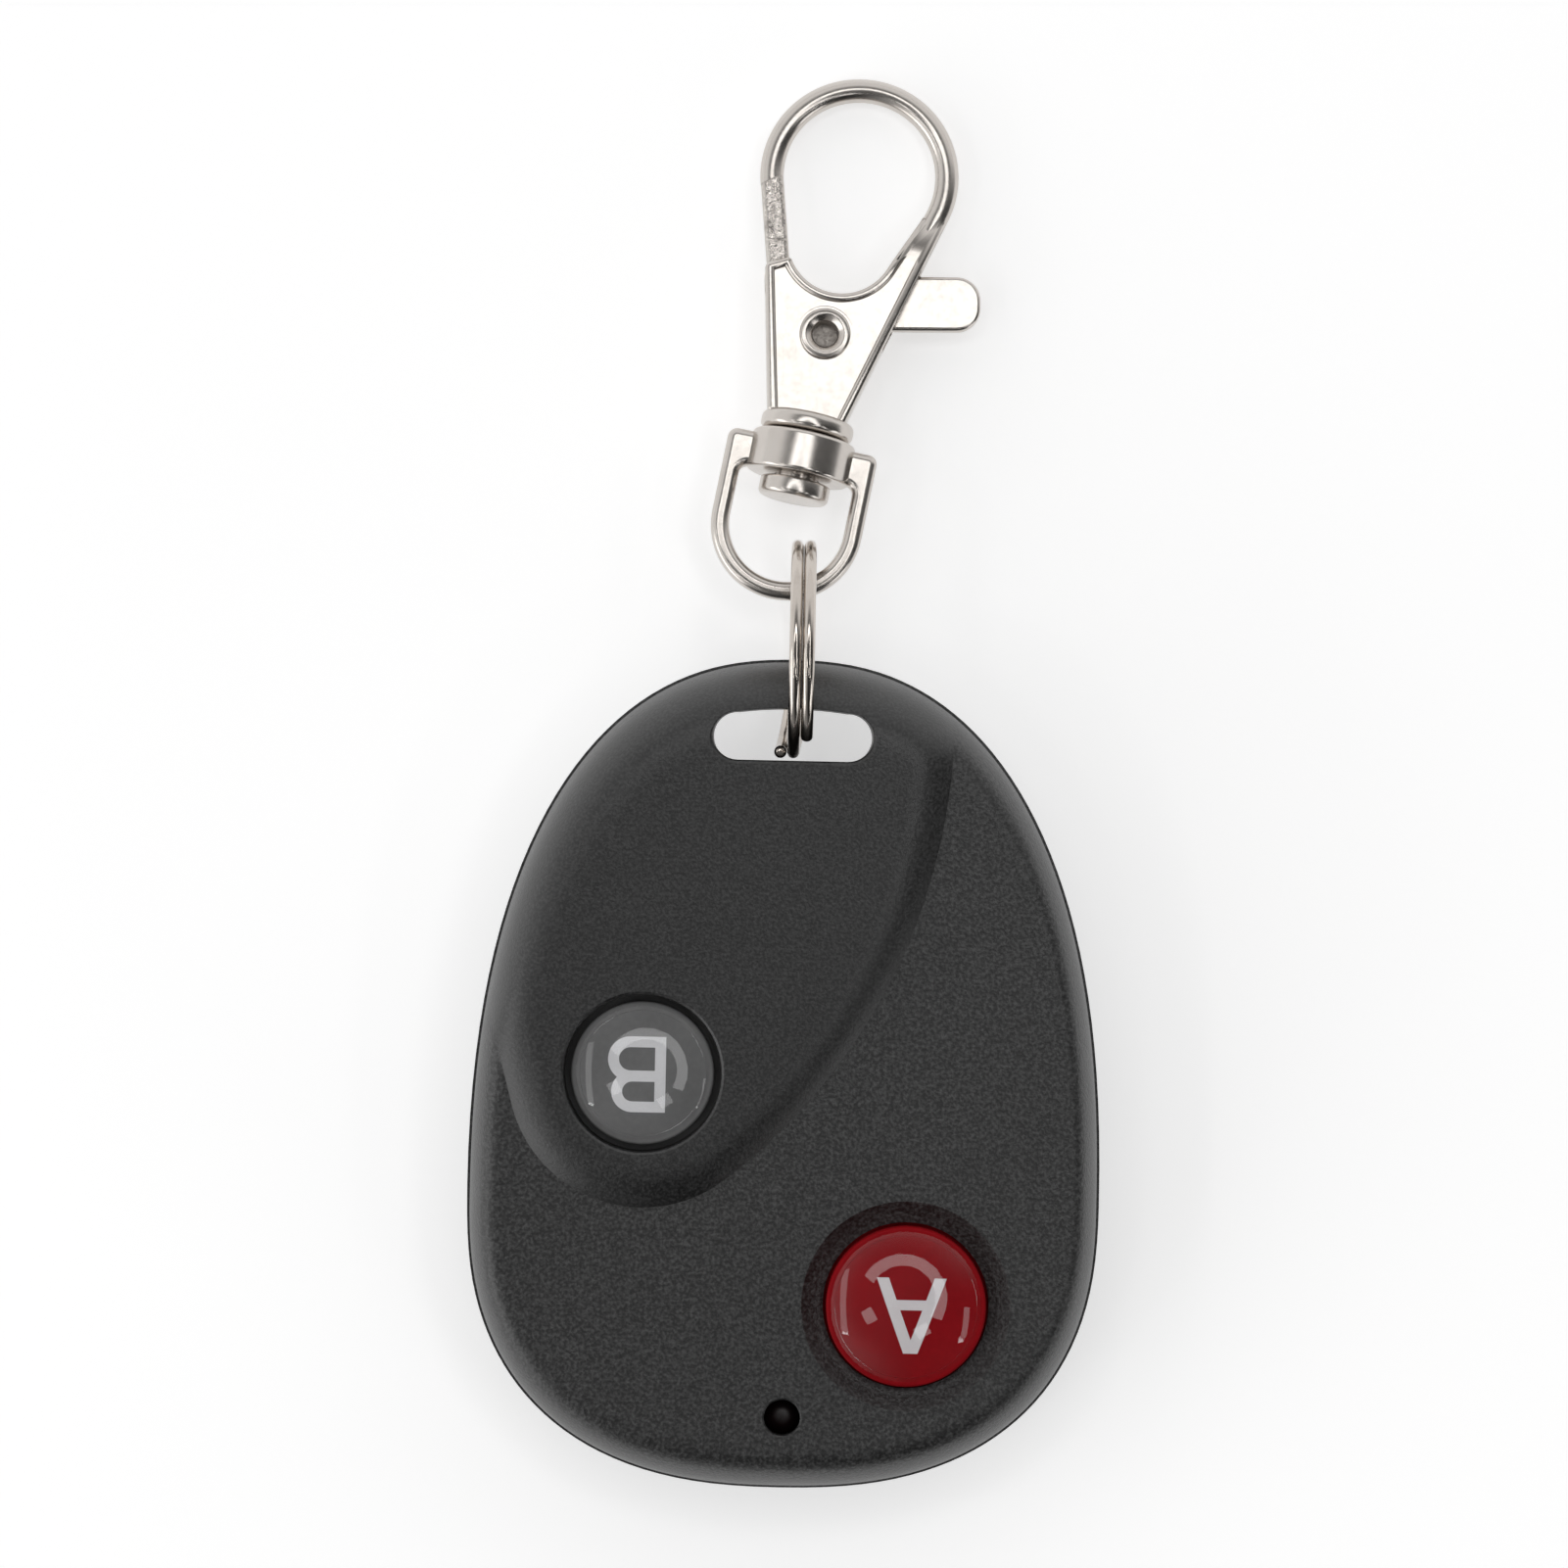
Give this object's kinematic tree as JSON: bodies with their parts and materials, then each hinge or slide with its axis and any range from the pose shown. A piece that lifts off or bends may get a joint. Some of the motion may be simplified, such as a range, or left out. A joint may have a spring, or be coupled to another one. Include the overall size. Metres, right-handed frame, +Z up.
{
  "type": "wireless remote control",
  "caption": "Pebble-shaped key fob remote with sprung domed push buttons, on a split ring with a swivel snap hook.",
  "frame": {"origin": "on the flat rest face of the rear cover, under the middle of the case outline", "axes": "+Z up out of the buttons, +Y along the case towards the keyring and the clasp, +X to the right as the picture shows it"},
  "size_m": [0.0458, 0.1029, 0.0163],
  "materials": {
    "case_black": "spark-textured moulded ABS",
    "screw_steel": "zinc-plated",
    "button_red": "moulded red ABS",
    "button_grey": "moulded grey ABS",
    "clear_dome": "clear epoxy resin",
    "switch_plastic": "moulded nylon",
    "plunger_plastic": "moulded nylon",
    "board_green": "glass-epoxy laminate with solder mask",
    "led_smoke": "diffusing epoxy",
    "chip_black": "moulded epoxy",
    "tinned_can": "tinned",
    "copper_wire": "enamelled copper",
    "battery_jacket": "shrink sleeve",
    "contact_nickel": "nickel-plated spring steel",
    "ring_nickel": "nickel-plated spring steel",
    "clasp_nickel": "nickel-plated zinc casting"
  },
  "bodies": {
    "case": {"front_cover": "case_black", "rear_cover": "case_black", "cover_screws": "screw_steel", "circuit_board": "board_green", "switch_a_body": "switch_plastic", "switch_b_body": "switch_plastic", "status_led": "led_smoke", "encoder_chip": "chip_black", "saw_resonator": "tinned_can", "rf_transistor": "chip_black", "tuning_coil": "copper_wire", "chip_passives": "chip_black", "battery": "battery_jacket", "battery_contact_plate": "contact_nickel", "battery_spring_plate": "contact_nickel", "battery_contact_spring": "contact_nickel"},
    "button_a": {"button_a_cap": "button_red", "button_a_dome": "clear_dome"},
    "button_b": {"button_b_cap": "button_grey", "button_b_dome": "clear_dome"},
    "plunger_a": {"switch_a_plunger": "plunger_plastic"},
    "plunger_b": {"switch_b_plunger": "plunger_plastic"},
    "key_ring": {"split_ring": "ring_nickel"},
    "swivel": {"swivel_loop": "clasp_nickel"},
    "hook": {"clasp_body": "clasp_nickel", "clasp_rivet": "clasp_nickel", "clasp_spring": "ring_nickel"},
    "lever": {"clasp_lever": "clasp_nickel"}
  },
  "joints": [
    {"name": "button_a_press", "type": "slide", "parent": "case", "child": "button_a", "axis": [0, 0, -1], "range_m": [0, 0.0003], "stiffness_N_per_m": 1500},
    {"name": "button_b_press", "type": "slide", "parent": "case", "child": "button_b", "axis": [0, 0, -1], "range_m": [0, 0.0003], "stiffness_N_per_m": 1500},
    {"name": "plunger_a_travel", "type": "slide", "parent": "case", "child": "plunger_a", "axis": [0, 0, -1], "range_m": [0, 0.0003]},
    {"name": "plunger_b_travel", "type": "slide", "parent": "case", "child": "plunger_b", "axis": [0, 0, -1], "range_m": [0, 0.0003]},
    {"name": "ring_turn", "type": "hinge", "parent": "case", "child": "key_ring", "pos_m": [0.0005, 0.03075, 0.0084], "axis": [1, 0, 0], "range_deg": [-45, 120]},
    {"name": "loop_swing", "type": "hinge", "parent": "key_ring", "child": "swivel", "pos_m": [-0.0008, 0.03986, 0.00451], "axis": [0.019, 0.1028, 0.9945], "range_deg": [-30, 30]},
    {"name": "swivel_spin", "type": "hinge", "parent": "swivel", "child": "hook", "pos_m": [0.00012, 0.0448, 0.00399], "axis": [0.1812, 0.9779, -0.1045], "continuous": true},
    {"name": "lever_open", "type": "hinge", "parent": "hook", "child": "lever", "pos_m": [0.00166, 0.05372, 0.00303], "axis": [0.019, 0.1028, 0.9945], "range_deg": [-18, 0], "stiffness_Nm_per_rad": 0.02, "springref_deg": 5.73}
  ],
  "couplings": [
    {"joint": "plunger_a_travel", "follows": "button_a_press", "ratio": 1},
    {"joint": "plunger_b_travel", "follows": "button_b_press", "ratio": 1}
  ]
}
